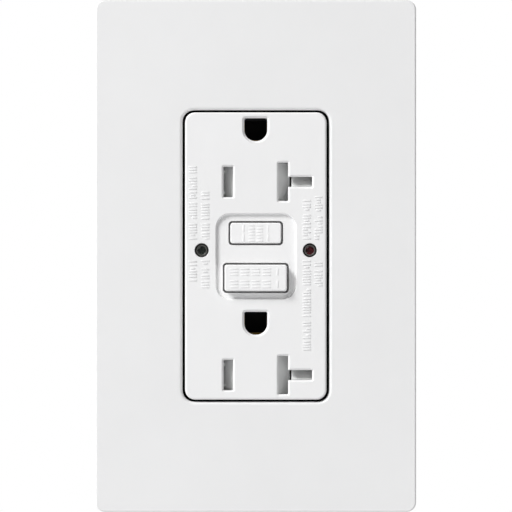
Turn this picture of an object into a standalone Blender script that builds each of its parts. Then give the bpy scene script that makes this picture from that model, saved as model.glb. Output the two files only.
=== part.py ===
"""A duplex ground-fault receptacle with a screwless press-on cover plate, as an assembly.

X is right and Z is up as one faces the wall, and +Y goes into the wall.
The origin is the middle of the wall plane, on which the strap's ears and the cover plate's rim rest.
Every length is in millimetres, and becomes metres once, in add_node.
"""

import math

import bmesh
import bpy
from mathutils import Matrix, Vector

MM = 0.001
GAP = 0.3

# Cover plate, and the adapter plate under it
PLATE_WIDTH = 74.6
PLATE_HEIGHT = 119.1
PLATE_RADIUS = 2.2
PLATE_FRONT = -7.6
PLATE_WALL = 2.0
OPENING_WIDTH = 34.15
OPENING_HEIGHT = 67.9
OPENING_RADIUS = 2.7
ADAPTER_FRONT = -3.4
ADAPTER_REAR = -1.6

# Device face
FACE_WIDTH = 32.9
FACE_HEIGHT = 66.8
FACE_RADIUS = 2.3
FACE_FRONT = -8.0
FACE_INSIDE = -6.0
POCKET_FLOOR = -7.2

# Device body behind the strap
BODY_WIDTH = 42.4
BODY_HEIGHT = 69.4
BODY_RADIUS = 3.0
BODY_WALL = 1.5
BODY_REAR = 27.5
SPLIT = 6.0
FLOOR_FRONT = 9.4
FLOOR_REAR = 11.0
SCREW_X = 18.0
SCREW_Z = 31.4

# Strap
STRAP = 1.3
PLATE_SCREW_Z = 48.4
BOX_SCREW_Z = 41.67

# The two outlets: the middles of their blade slots and of their ground holes
OUTLETS = {"upper": (17.25, 29.4), "lower": (-27.7, -15.66)}
BLADE_X = 6.4
SLOT_WIDTH = 2.23
HOT_HEIGHT = 7.1
NEUTRAL_HEIGHT = 8.9
CROSS_END = 13.1
CROSS_HEIGHT = 2.33
GROUND_WIDTH = 5.35
GROUND_TOP = 2.67
SHUTTER_FRONT = FACE_INSIDE + GAP
SHUTTER_REAR = -2.6
RAMP_FOOT = -3.6

# Buttons and lights
TEST_Z = 5.33
TEST_OPENING = (12.6, 5.53)
TEST_FRONT = -7.6
RESET_Z = -5.1
RESET_OPENING = (15.26, 6.93)
RESET_FRONT = -9.9
BUTTON_RADIUS = 0.9
LIGHT_X = 12.57
LIGHT_Z = 1.33
SHAFT_RADIUS = 1.2

# Trip mechanism and electronics
ARM_PIVOT = (13.7, -26.0)
SOLENOID_Y = 17.5
SENSOR_Z = -20.0
BOARD_FRONT = 23.6
BOARD_REAR = 25.2
TERMINAL_Y = 16.0
TERMINAL_Z = 18.0
TERMINAL_X = 17.3

# Colour, roughness and metallic value of each finish
FINISHES = {
    "white_plastic": ((0.86, 0.86, 0.85), 0.42, 0.0),
    "adapter_plastic": ((0.80, 0.80, 0.78), 0.50, 0.0),
    "shutter_plastic": ((0.32, 0.32, 0.32), 0.50, 0.0),
    "housing_plastic": ((0.06, 0.06, 0.065), 0.50, 0.0),
    "bobbin_plastic": ((0.70, 0.66, 0.52), 0.50, 0.0),
    "zinc_steel": ((0.62, 0.63, 0.65), 0.35, 1.0),
    "brass": ((0.72, 0.52, 0.24), 0.30, 1.0),
    "nickel": ((0.70, 0.69, 0.66), 0.28, 1.0),
    "spring_steel": ((0.50, 0.51, 0.53), 0.28, 1.0),
    "green_screw": ((0.05, 0.32, 0.12), 0.35, 1.0),
    "copper_winding": ((0.60, 0.22, 0.09), 0.35, 1.0),
    "circuit_board": ((0.03, 0.16, 0.07), 0.50, 0.0),
    "varistor_epoxy": ((0.10, 0.14, 0.50), 0.40, 0.0),
    "capacitor_case": ((0.75, 0.50, 0.10), 0.40, 0.0),
    "smoke_lens": ((0.10, 0.10, 0.10), 0.15, 0.0),
    "lamp_lens": ((0.75, 0.78, 0.72), 0.15, 0.0),
}


# ---------------------------------------------------------------- outlines, in X and Z

def mirrored(side, near, far):
    """A span on the given side of the middle, as its low and its high end."""
    return sorted((side * near, side * far))


def box_outline(x0, x1, z0, z1):
    return [(x0, z0), (x1, z0), (x1, z1), (x0, z1)]


def arc(x, z, radius, start, end, steps):
    """Points from the start angle to the end angle, in degrees, both included."""
    angles = [math.radians(start + (end - start) * i / steps) for i in range(steps + 1)]
    return [(x + radius * math.cos(a), z + radius * math.sin(a)) for a in angles]


def round_outline(width, height, radius, x=0.0, z=0.0, steps=4):
    """A rectangle about (x, z) with round corners."""
    points = []
    for quarter, (sx, sz) in enumerate([(1, 1), (-1, 1), (-1, -1), (1, -1)]):
        corner_x = x + sx * (width / 2 - radius)
        corner_z = z + sz * (height / 2 - radius)
        points += arc(corner_x, corner_z, radius, 90 * quarter, 90 * quarter + 90, steps)
    return points


def circle(radius, x=0.0, z=0.0, sides=20):
    return arc(x, z, radius, 0, 360 - 360 / sides, sides - 1)


def ground_outline(z):
    """A ground hole: flat at the top and round at the bottom."""
    half = GROUND_WIDTH / 2
    return [(half, z + GROUND_TOP), (-half, z + GROUND_TOP)] + arc(0, z, half, 180, 360, 10)


# ---------------------------------------------------------------- solids

def mesh_of(shape):
    """A closed shape as a mesh whose faces point out."""
    bmesh.ops.recalc_face_normals(shape, faces=shape.faces)
    if shape.calc_volume(signed=True) < 0:
        bmesh.ops.reverse_faces(shape, faces=shape.faces)
    mesh = bpy.data.meshes.new("shape")
    shape.to_mesh(mesh)
    shape.free()
    return mesh


def loft(sections):
    """A closed solid through outlines with as many points each: sections are (y, outline)."""
    shape = bmesh.new()
    rings = [[shape.verts.new((x, y, z)) for x, z in outline] for y, outline in sections]
    for near, far in zip(rings, rings[1:]):
        for i in range(len(near)):
            shape.faces.new((near[i - 1], near[i], far[i], far[i - 1]))
    shape.faces.new(rings[0])
    shape.faces.new(rings[-1])
    return mesh_of(shape)


def slab(outline, y0, y1):
    return loft([(y0, outline), (y1, outline)])


def block(x0, x1, y0, y1, z0, z1):
    return slab(box_outline(x0, x1, z0, z1), y0, y1)


def rod(radius, y0, y1, x=0.0, z=0.0, sides=20):
    return slab(circle(radius, x, z, sides), y0, y1)


def along(axis, mesh, centre):
    """Turn a mesh made along Y about the Y axis so that it runs along another axis, then place it."""
    quarter = math.radians(90)
    turns = {"X": Matrix.Rotation(-quarter, 4, "Z"), "Z": Matrix.Rotation(quarter, 4, "X")}
    mesh.transform(Matrix.Translation(Vector(centre)) @ turns.get(axis, Matrix.Identity(4)))
    return mesh


def boolean(mesh, tools, operation):
    """The mesh after it is joined with, or cut by, each tool in turn."""
    body = bpy.data.objects.new("body", mesh)
    holders = [bpy.data.objects.new("tool", tool) for tool in tools]
    for holder in [body] + holders:
        bpy.context.scene.collection.objects.link(holder)
    for holder in holders:
        step = body.modifiers.new("step", "BOOLEAN")
        step.operation = operation
        step.solver = "EXACT"
        step.object = holder
    bpy.context.view_layer.update()
    result = bpy.data.meshes.new_from_object(body.evaluated_get(bpy.context.evaluated_depsgraph_get()))
    for holder in [body] + holders:
        old = holder.data
        bpy.data.objects.remove(holder)
        bpy.data.meshes.remove(old)
    return result


def finish(name):
    """The material of a finish, made the first time that it is asked for."""
    if name in bpy.data.materials:
        return bpy.data.materials[name]
    colour, roughness, metallic = FINISHES[name]
    material = bpy.data.materials.new(name)
    material.use_nodes = True
    shader = material.node_tree.nodes["Principled BSDF"]
    shader.inputs["Base Color"].default_value = (*colour, 1.0)
    shader.inputs["Roughness"].default_value = roughness
    shader.inputs["Metallic"].default_value = metallic
    return material


def add_node(name, finish_name, solids, cuts=(), origin=(0.0, 0.0, 0.0)):
    """One named piece: its solids joined, its cuts taken out, and its origin on its joint's axis."""
    mesh = solids[0]
    if len(solids) > 1:
        mesh = boolean(mesh, solids[1:], "UNION")
    if cuts:
        mesh = boolean(mesh, list(cuts), "DIFFERENCE")
    mesh.transform(Matrix.Scale(MM, 4) @ Matrix.Translation(-Vector(origin)))
    mesh.name = name
    mesh.shade_smooth()
    mesh.set_sharp_from_angle(angle=math.radians(35))
    mesh.materials.clear()
    mesh.materials.append(finish(finish_name))
    piece = bpy.data.objects.new(name, mesh)
    piece.location = Vector(origin) * MM
    bpy.context.scene.collection.objects.link(piece)
    return piece


def add_coil(name, finish_name, axis, centre, radius, wire, start, end, turns):
    """A compression spring along an axis, as one thick wire."""
    across = 8
    count = turns * across + 1
    curve = bpy.data.curves.new(name, "CURVE")
    curve.dimensions = "3D"
    curve.bevel_depth = wire * MM
    curve.bevel_resolution = 0
    curve.render_resolution_u = 0
    curve.use_fill_caps = True
    path = curve.splines.new("POLY")
    path.points.add(count - 1)
    for i, point in enumerate(path.points):
        angle = 2 * math.pi * i / across
        run = start + wire + (end - start - 2 * wire) * i / (count - 1)
        side, up = radius * math.cos(angle), radius * math.sin(angle)
        place = (run, side, up) if axis == "X" else (side, run, up)
        point.co = (*(Vector(place) * MM), 1.0)
    curve.materials.append(finish(finish_name))
    piece = bpy.data.objects.new(name, curve)
    piece.location = Vector(centre) * MM
    bpy.context.scene.collection.objects.link(piece)
    return piece


# ---------------------------------------------------------------- plates over the wall

def cover_plate():
    """The press-on cover: a shallow box with a window, and eight grip ribs inside its walls."""
    def outer(inset):
        return round_outline(PLATE_WIDTH - 2 * inset, PLATE_HEIGHT - 2 * inset, PLATE_RADIUS)

    def window(spare):
        return round_outline(OPENING_WIDTH + 2 * spare, OPENING_HEIGHT + 2 * spare, OPENING_RADIUS + spare)

    inside = round_outline(PLATE_WIDTH - 2 * PLATE_WALL, PLATE_HEIGHT - 2 * PLATE_WALL, 1.5)
    shell = loft([(0, outer(0)), (-7.1, outer(0)), (-7.45, outer(0.12)), (PLATE_FRONT, outer(0.4))])
    hollow = boolean(shell, [slab(inside, -5.4, 1.0)], "DIFFERENCE")
    parts = [hollow, slab(window(1.9), -5.6, -3.8)]
    wall_x, wall_z = PLATE_WIDTH / 2 - PLATE_WALL, PLATE_HEIGHT / 2 - PLATE_WALL
    for side in (-1, 1):
        across = mirrored(side, wall_x - 0.6, wall_x + 0.5)
        up = mirrored(side, wall_z - 0.6, wall_z + 0.5)
        for place in (-30, 30):
            parts.append(block(*across, -5.6, -0.6, place - 4, place + 4))
        for place in (-18, 18):
            parts.append(block(place - 4, place + 4, -5.6, -0.6, *up))
    cut = loft([(1, window(0)), (-6.9, window(0)), (-7.4, window(0.25)), (-8.1, window(0.95))])
    return add_node("cover_plate", "white_plastic", parts, [cut])


def adapter_plate():
    """The flat frame under the cover, screwed to the strap."""
    width, height = PLATE_WIDTH - 2 * PLATE_WALL - 2 * GAP, PLATE_HEIGHT - 2 * PLATE_WALL - 2 * GAP
    sheet = slab(round_outline(width, height, 1.5), ADAPTER_FRONT, -GAP)
    cuts = [
        slab(round_outline(width - 3.0, height - 3.0, 1.5), ADAPTER_REAR, 1),
        slab(round_outline(36.0, 70.0, 3.4), ADAPTER_FRONT - 1, 1),
    ]
    for side in (-1, 1):
        cuts.append(rod(4.0, ADAPTER_FRONT - 1, 1, 0, side * BOX_SCREW_Z))
        screw = circle(1.9, 0, side * PLATE_SCREW_Z)
        cuts.append(loft([
            (ADAPTER_FRONT - 0.5, circle(4.3, 0, side * PLATE_SCREW_Z)),
            (ADAPTER_REAR - 0.05, screw),
            (1, screw),
        ]))
        for place in (-30, 30):
            cuts.append(block(*mirrored(side, width / 2 - 0.6, 40), -5, 1, place - 4.3, place + 4.3))
        for place in (-18, 18):
            cuts.append(block(place - 4.3, place + 4.3, -5, 1, *mirrored(side, height / 2 - 0.6, 62)))
    return add_node("adapter_plate", "adapter_plastic", [sheet], cuts)


def adapter_screw(name, z):
    head = loft([
        (ADAPTER_FRONT, circle(3.1, 0, z, 16)),
        (ADAPTER_FRONT + 0.3, circle(3.1, 0, z, 16)),
        (ADAPTER_FRONT + 1.8, circle(1.4, 0, z, 16)),
        (6, circle(1.4, 0, z, 16)),
    ])
    return add_node(name, "zinc_steel", [head], [block(-4, 4, -4, ADAPTER_FRONT + 0.6, z - 0.4, z + 0.4)])


def box_screw(name, z):
    head = loft([
        (-3.4, circle(2.5, 0, z, 16)),
        (-2.9, circle(3.3, 0, z, 16)),
        (-STRAP - GAP, circle(3.3, 0, z, 16)),
    ])
    shank = rod(1.75, -STRAP - GAP - 0.2, 20, 0, z, 16)
    return add_node(name, "zinc_steel", [head, shank], [block(-4, 4, -4, -2.7, z - 0.4, z + 0.4)])


# ---------------------------------------------------------------- strap and ground path

def mounting_strap():
    """The steel yoke: a spine down the middle, two drilled end plates with plaster ears, a ground tab."""
    parts = [slab(box_outline(-3.6, 3.6, -52, 52), -STRAP, 0)]
    cuts = [slab(box_outline(-5.2, 5.2, -9.0, 9.5), -3, 3)]
    parts.append(slab(box_outline(-9.5, 9.5, -10.3, 10.8), -STRAP, 0))
    for _, ground_z in OUTLETS.values():
        parts.append(rod(5.0, -STRAP, 0, 0, ground_z + 0.3))
        cuts.append(rod(3.3, -3, 3, 0, ground_z + 0.3))
    for end in (-1, 1):
        parts.append(slab(box_outline(-9.0, 9.0, *mirrored(end, 32.7, 37.0)), -STRAP, 0))
        middle = end * 44.6
        parts.append(slab(round_outline(26, 17.4, 3.0, 0, middle), -STRAP, 0))
        cuts.append(slab(round_outline(6.6, 4.2, 2.09, 0, end * BOX_SCREW_Z), -3, 3))
        cuts.append(rod(1.75, -3, 3, 0, end * PLATE_SCREW_Z))
        for side in (-1, 1):
            parts.append(rod(5.5, -STRAP, 0, side * 16.5, end * 47.5))
            cuts.append(rod(2.0, -3, 3, side * 16.5, end * 47.5, 16))
    parts.append(block(-14.3, -12.9, -STRAP, 10, -46, -36))
    cuts.append(along("X", rod(2.2, -3, 3, sides=16), (-13.6, 5.5, -41)))
    return add_node("mounting_strap", "zinc_steel", parts, cuts)


def ground_screw():
    """The green hexagon screw in the strap's bent tab."""
    head = along("X", rod(3.9, -3.0, 0, sides=6), (-14.6, 5.5, -41))
    shank = along("X", rod(1.85, -0.2, 5.2, sides=16), (-14.6, 5.5, -41))
    slot = along("X", block(-4, 4, -4, -2.0, -0.45, 0.45), (-14.6, 5.5, -41))
    return add_node("ground_screw", "green_screw", [head, shank], [slot], origin=(-14.6, 5.5, -41))


def ground_contact(name, ground_z):
    """A brass fork that grips the ground pin, with its foot under the strap."""
    low, high = ground_z - 2.8, ground_z + 1.9
    parts = [
        block(2.6, 3.1, GAP, 7.6, low, high),
        block(-3.1, -2.6, GAP, 7.6, low, high),
        block(-3.1, 3.1, 7.0, 7.6, low, high),
        block(-3.1, 3.1, GAP, 0.9, low - 3.2, low + 0.3),
    ]
    return add_node(name, "brass", parts)


# ---------------------------------------------------------------- device face and its buttons

def face_cover():
    """The white moulding that holds the slots and buttons, with its base behind the strap."""
    def front(inset):
        return round_outline(FACE_WIDTH - 2 * inset, FACE_HEIGHT - 2 * inset, FACE_RADIUS)

    nose = loft([(FACE_FRONT, front(0.5)), (-7.8, front(0.15)), (-7.5, front(0)), (0, front(0))])
    base = slab(round_outline(BODY_WIDTH, BODY_HEIGHT, BODY_RADIUS), -1.0, SPLIT)
    nose_hollow = slab(round_outline(29.7, 64.8, 0.4), FACE_INSIDE, SPLIT)
    base_hollow = slab(round_outline(BODY_WIDTH - 2 * BODY_WALL, BODY_HEIGHT - 2 * BODY_WALL, 1.5), GAP, 7)
    shell = boolean(nose, [base], "UNION")
    parts = [boolean(shell, [nose_hollow, base_hollow], "DIFFERENCE")]
    cuts = [
        loft([
            (FACE_FRONT - 0.3, round_outline(19.6, 20.9, 3.8, 0.07, -0.13)),
            (POCKET_FLOOR, round_outline(18.42, 19.74, 3.2, 0.07, -0.13)),
        ]),
        slab(round_outline(*TEST_OPENING, BUTTON_RADIUS, 0, TEST_Z), -9, -5),
        slab(round_outline(*RESET_OPENING, BUTTON_RADIUS, 0, RESET_Z), -9, -5),
    ]
    for side in (-1, 1):
        cuts.append(rod(1.63, -9, -5, side * LIGHT_X, LIGHT_Z))
        cuts.append(block(-9.3, 9.3, -STRAP - GAP, GAP, *mirrored(side, 31.4, 35.5)))
        for end in (-1, 1):
            parts.append(rod(2.9, 0.1, SPLIT - 0.1, side * SCREW_X, end * SCREW_Z, 16))
            cuts.append(rod(1.5, 1.5, 7, side * SCREW_X, end * SCREW_Z, 16))
    for slot_z, ground_z in OUTLETS.values():
        cross = (CROSS_END - BLADE_X, CROSS_HEIGHT, (CROSS_END + BLADE_X) / 2)
        slots = [(SLOT_WIDTH, HOT_HEIGHT, -BLADE_X), (SLOT_WIDTH, NEUTRAL_HEIGHT, BLADE_X), cross]
        for width, height, x in slots:
            half_x, half_z = width / 2, height / 2
            cuts.append(block(x - half_x, x + half_x, -9, -5, slot_z - half_z, slot_z + half_z))
        cuts.append(slab(ground_outline(ground_z), -9, -5))
        for side in (-1, 1):
            for rib_z in (slot_z - 5.4, slot_z + 4.8):
                if abs(rib_z) < 31:
                    across = mirrored(side, 3.0, 8.0)
                    parts.append(block(*across, FACE_INSIDE - 0.2, SHUTTER_REAR, rib_z, rib_z + 0.7))
    return add_node("face_cover", "white_plastic", parts, cuts)


def test_button():
    width, height = TEST_OPENING
    parts = [
        slab(round_outline(width - 2 * GAP, height - 2 * GAP, 0.7, 0, TEST_Z, 3), TEST_FRONT, -5.5),
        slab(round_outline(width + 1.4, height + 0.9, 1.0, 0, TEST_Z, 3), FACE_INSIDE + GAP, -4.7),
        block(-1.2, 1.2, -4.9, 2.0, TEST_Z - 0.8, TEST_Z + 0.8),
    ]
    return add_node("test_button", "white_plastic", parts, origin=(0, TEST_FRONT, TEST_Z))


def reset_button():
    width, height = RESET_OPENING
    body = round_outline(width - 2 * GAP, height - 2 * GAP, 0.7, 0, RESET_Z, 3)
    rim = round_outline(width - 2 * GAP - 0.6, height - 2 * GAP - 0.6, 0.5, 0, RESET_Z, 3)
    parts = [
        loft([(RESET_FRONT, rim), (RESET_FRONT + 0.3, body), (-5.5, body)]),
        slab(round_outline(width + 1.7, height + 1.3, 1.0, 0, RESET_Z, 3), FACE_INSIDE + GAP, -4.7),
        rod(2.4, -4.9, -3.2, 0, RESET_Z),
    ]
    bore = rod(SHAFT_RADIUS + GAP, -7.0, -3, 0, RESET_Z, 16)
    return add_node("reset_button", "white_plastic", parts, [bore], origin=(0, RESET_FRONT, RESET_Z))


def reset_shaft():
    """A steel pin with a groove near its tip, which the latch plate catches."""
    profile = [(-6.7, 1.2), (11.3, 1.2), (11.3, 0.8), (12.2, 0.8), (12.2, 1.2), (12.6, 1.2), (13.1, 0.7)]
    parts = [loft([(y, circle(radius, 0, RESET_Z, 16)) for y, radius in profile])]
    return add_node("reset_shaft", "spring_steel", parts, origin=(0, RESET_FRONT, RESET_Z))


def light_pipe(name, side):
    x = side * LIGHT_X
    parts = [rod(1.3, PLATE_FRONT, 18.0, x, LIGHT_Z, 16), rod(2.0, FACE_INSIDE + GAP, -4.8, x, LIGHT_Z, 16)]
    return add_node(name, "smoke_lens", parts)


# ---------------------------------------------------------------- shutters


def wedge_shutter(name, side, slot_z, height):
    """A sliding gate with a ramp under its slot, so that a blade pushes it towards the middle."""
    profile = [
        (7.9, RAMP_FOOT),
        (7.9, SHUTTER_REAR),
        (4.4, SHUTTER_REAR),
        (4.4, SHUTTER_FRONT),
        (5.0, SHUTTER_FRONT),
    ]
    outline = [(side * x, -y) for x, y in profile]
    gate = along("Z", slab(outline, -height / 2, height / 2), (0, 0, slot_z))
    return add_node(name, "shutter_plastic", [gate], origin=(side * 4.4, SHUTTER_REAR, slot_z))


def cross_shutter(name, slot_z):
    """The gate of the sideways slot, with a ramp that makes it slide down."""
    profile = [
        (SHUTTER_FRONT, -1.35),
        (SHUTTER_FRONT, -0.9),
        (RAMP_FOOT, 1.5),
        (SHUTTER_REAR, 1.5),
        (SHUTTER_REAR, -1.35),
    ]
    outline = [(-y, z) for y, z in profile]
    gate = along("X", slab(outline, 8.3, 13.6), (0, 0, slot_z))
    return add_node(name, "shutter_plastic", [gate], origin=(11, SHUTTER_REAR, slot_z))


# ---------------------------------------------------------------- middle housing and its contacts

def middle_housing():
    """The dark tray between the strap and the mechanism, which carries the contact strips."""
    half_x, half_z = 19.2, 32.8
    notch_x, notch_z = 14.3, 27.7
    outline = []
    for sx, sz in ((1, 1), (-1, 1), (-1, -1), (1, -1)):
        corner = [(half_x, notch_z), (notch_x, notch_z), (notch_x, half_z)]
        outline += [(sx * x, sz * z) for x, z in (corner if sx == sz else corner[::-1])]
    inner = [(x - math.copysign(1.1, x), z - math.copysign(1.1, z)) for x, z in outline]
    tray = boolean(slab(outline, 0.6, FLOOR_REAR), [slab(inner, 0, FLOOR_FRONT)], "DIFFERENCE")
    parts = [tray, block(-1.5, 1.5, 3.5, FLOOR_FRONT + 0.2, 12.4, 14.4)]
    cuts = [rod(SHAFT_RADIUS + 0.4, 9, 12, 0, RESET_Z, 16)]
    for side in (-1, 1):
        parts.append(block(*mirrored(side, 4.0, 4.7), 0.9, FLOOR_FRONT + 0.2, -31, 31))
        parts.append(block(*mirrored(side, 4.75, 5.65), FLOOR_REAR - 0.2, 16.2, -9.5, -6.9))
        cuts.append(rod(1.7, 9, 12, side * LIGHT_X, LIGHT_Z, 16))
        cuts.append(block(*mirrored(side, 6.2, 9.8), 9, 12, -6.8, -3.2))
        cuts.append(block(*mirrored(side, 16.5, 18.05), 9, 12, 11.6, 24.4))
        for slot_z, _ in OUTLETS.values():
            low, high = max(slot_z - 5.4, -32.1), slot_z + 5.4
            parts += [
                block(*mirrored(side, 4.0, 14.4), -2.3, -1.1, low, high),
                block(*mirrored(side, 4.0, 4.7), -1.3, 1.1, low, high),
                block(*mirrored(side, 13.7, 14.4), -1.3, FLOOR_FRONT + 0.2, low, high),
            ]
            cuts.append(block(*mirrored(side, 5.0, 7.8), -3, 0, slot_z - 4.2, slot_z + 4.2))
        cuts.append(block(*mirrored(side, 13, 15), 7.7, FLOOR_FRONT, 11.7, 24.3))
    for slot_z, _ in OUTLETS.values():
        cuts.append(block(7, 13.5, -3, 0, slot_z - 1.5, slot_z + 1.5))
    return add_node("middle_housing", "housing_plastic", parts, cuts)


def contact_strip(name, finish_name, side):
    """A strip with a fork behind each blade slot, a fixed contact and the tab of its load terminal."""
    parts = [block(*mirrored(side, 5.05, 11.0), 8.2, 9.0, -31.5, 24.2)]
    for slot_z, _ in OUTLETS.values():
        for x in (5.05, 7.25):
            parts.append(block(*mirrored(side, x, x + 0.5), 1.2, 8.4, slot_z - 3.2, slot_z + 3.2))
        if side > 0:
            parts.append(block(10.8, 12.8, 8.2, 9.0, slot_z - 2.0, slot_z + 2.0))
            for z in (slot_z - 1.35, slot_z + 0.85):
                parts.append(block(8.6, 12.6, 1.2, 8.4, z, z + 0.5))
    parts.append(block(*mirrored(side, 10.8, TERMINAL_X + 0.4), 8.2, 9.0, 12, 24))
    parts.append(block(*mirrored(side, TERMINAL_X - 0.4, TERMINAL_X + 0.4), 8.2, 21.0, 12, 24))
    parts.append(block(*mirrored(side, 6.6, 9.4), 8.8, 11.3, -6.4, -3.6))
    hole = along("X", rod(2.2, -1, 1, sides=16), (side * TERMINAL_X, TERMINAL_Y, TERMINAL_Z))
    return add_node(name, finish_name, parts, [hole])


def line_terminal(name, finish_name, side):
    """The plate under a line screw, with its conductor through the sensor coils to the board."""
    parts = [
        block(*mirrored(side, TERMINAL_X - 0.4, TERMINAL_X + 0.4), 11.6, 21.0, -24, -12),
        block(*mirrored(side, 1.0, TERMINAL_X), 11.6, 12.4, -21.5, -18.5),
        block(*mirrored(side, 1.0, 1.8), 11.8, 25.8, SENSOR_Z - 0.6, SENSOR_Z + 0.6),
    ]
    hole = along("X", rod(2.2, -1, 1, sides=16), (side * TERMINAL_X, TERMINAL_Y, -TERMINAL_Z))
    return add_node(name, finish_name, parts, [hole])


def terminal_screw(name, finish_name, side, z):
    """A captive screw whose head stands outside its terminal plate."""
    centre = (side * 18.2, TERMINAL_Y, z)
    head = along("X", rod(3.7, *mirrored(side, 0, 2.7), sides=16), centre)
    shank = along("X", rod(1.85, *mirrored(side, 0.2, -6.8), sides=16), centre)
    slot = along("X", block(-4, 4, *mirrored(side, 1.9, 4), -0.45, 0.45), centre)
    return add_node(name, finish_name, [head, shank], [slot], origin=centre)


def clamp_plate(name, side, z):
    """The threaded plate that a terminal screw draws up against the wires."""
    centre = (side * 15.2, TERMINAL_Y, z)
    plate = block(*mirrored(side, 14.6, 15.8), TERMINAL_Y - 3.2, TERMINAL_Y + 3.2, z - 3.8, z + 3.8)
    hole = along("X", rod(2.2, -1, 1, sides=16), centre)
    return add_node(name, "zinc_steel", [plate], [hole], origin=centre)


# ---------------------------------------------------------------- trip mechanism

def contact_arm(name, finish_name, side):
    """A springy arm that carries a moving contact, and bends about its foot."""
    y, z = ARM_PIVOT
    parts = [
        block(*mirrored(side, 6.6, 9.4), y - 0.3, y + 0.3, z - 0.5, -3.4),
        block(*mirrored(side, 7.0, 9.0), y - 0.8, y, -6.2, -3.8),
        block(*mirrored(side, 7.2, 8.8), y, 22.9, z - 0.5, z),
    ]
    return add_node(name, finish_name, parts, origin=(side * 8, y, z))


def contact_carriage():
    """The plastic lifter that the reset shaft draws forward, with a wing under each moving arm."""
    parts = [
        block(-4.4, 4.4, 12.9, 16.4, -9.5, -2.7),
        block(-10.2, 10.2, 14.4, 15.9, -6.5, -3.6),
    ]
    cuts = [block(-3.3, 3.3, 13.9, 15.3, -10, -2), rod(SHAFT_RADIUS + 0.4, 12, 17, 0, RESET_Z, 16)]
    return add_node("contact_carriage", "bobbin_plastic", parts, cuts, origin=(0, 12.9, RESET_Z))


def latch_plate():
    """The sliding steel latch: its hole catches the shaft's groove, and its lip meets the plunger."""
    parts = [block(-3.0, 3.0, 14.2, 15.0, -8.9, -0.8), block(-2.0, 2.0, 14.4, 19.0, -1.4, -0.6)]
    hole = slab(round_outline(3.2, 4.1, 1.55, 0, -4.65, 3), 13, 16)
    return add_node("latch_plate", "zinc_steel", parts, [hole], origin=(0, 14.6, RESET_Z))


def plunger():
    return add_node(
        "plunger",
        "spring_steel",
        [along("Z", rod(1.75, -0.3, 13, sides=16), (0, SOLENOID_Y, 0))],
        origin=(0, SOLENOID_Y, 0),
    )


def solenoid():
    """The coil that trips the latch: bobbin, winding, and a steel frame round them."""
    centre = (0, SOLENOID_Y, 0)
    reel = [(2.0, 5.3), (3.2, 5.3), (3.2, 3.0), (15.8, 3.0), (15.8, 5.3), (17.0, 5.3)]
    spool = along("Z", loft([(y, circle(radius)) for y, radius in reel]), centre)
    add_node("solenoid_bobbin", "bobbin_plastic", [spool], [along("Z", rod(2.1, 1, 18, sides=16), centre)])
    winding = along("Z", rod(5.0, 3.5, 15.5), centre)
    add_node("solenoid_coil", "copper_winding", [winding], [along("Z", rod(3.3, 3, 16), centre)])
    bracket = [
        block(-6.9, 6.9, 12.2, 22.6, 0.7, 1.7),
        block(-6.9, 6.9, 12.2, 22.6, 17.3, 18.3),
        block(-6.9, -5.9, 12.2, 22.6, 0.7, 18.3),
        block(5.9, 6.9, 12.2, 22.6, 0.7, 18.3),
    ]
    bore = along("Z", rod(2.2, 0, 19, sides=16), centre)
    add_node("solenoid_frame", "zinc_steel", bracket, [bore])


def test_contact_arm():
    """The flat spring that the test button pushes onto its contact."""
    parts = [block(-1.8, 1.8, 2.3, 2.8, 3.4, 14.2), block(-0.9, 0.9, 2.6, 3.5, 3.6, 5.4)]
    return add_node("test_contact_arm", "brass", parts, origin=(0, 2.55, 13.5))


# ---------------------------------------------------------------- circuit board and what it carries

def circuit_board():
    ears = [(13, -8), (15.6, -6), (15.6, 8), (13, 10)]
    outline = [(13, -31)] + ears + [(13, 31), (-13, 31)] + [(-x, z) for x, z in ears[::-1]] + [(-13, -31)]
    slot = block(-2.3, 2.3, 23, 26, SENSOR_Z - 1.0, SENSOR_Z + 1.0)
    return add_node("circuit_board", "circuit_board", [slab(outline, BOARD_FRONT, BOARD_REAR)], [slot])


def sensor():
    """A cup round the two line conductors, which holds the two sensing coils."""
    cup = rod(5.8, 14.4, 22.9, 0, SENSOR_Z)
    add_node("sensor_boat", "bobbin_plastic", [cup], [
        rod(5.3, 14, 22.1, 0, SENSOR_Z),
        rod(2.3, 20, 24, 0, SENSOR_Z, 16),
    ])
    for name, y in (("sensor_coil_front", 14.8), ("sensor_coil_rear", 18.5)):
        ring = rod(5.0, y, y + 3.3, 0, SENSOR_Z)
        add_node(name, "copper_winding", [ring], [rod(2.6, 13, 24, 0, SENSOR_Z, 16)])


def board_parts():
    """The surge varistor, the filter capacitor and the two lamps, on their leads."""
    disc = along("Z", rod(5.0, 24.0, 27.0), (7.5, 17.6, 0))
    leads = [rod(0.4, 20, 23.3, x, 25.5, 8) for x in (5.0, 10.0)]
    add_node("surge_varistor", "varistor_epoxy", [disc] + leads)
    add_node("filter_capacitor", "capacitor_case", [block(-12, -3.5, 14.5, 23.3, 22.0, 28.0)])
    for name, side in (("status_led", -1), ("fault_led", 1)):
        x = side * LIGHT_X
        profile = [(18.4, 0.8), (19.0, 1.3), (19.8, 1.5), (22.3, 1.5), (22.3, 1.8), (23.3, 1.8)]
        add_node(name, "lamp_lens", [loft([(y, circle(radius, x, LIGHT_Z, 12)) for y, radius in profile])])


# ---------------------------------------------------------------- rear housing

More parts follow.
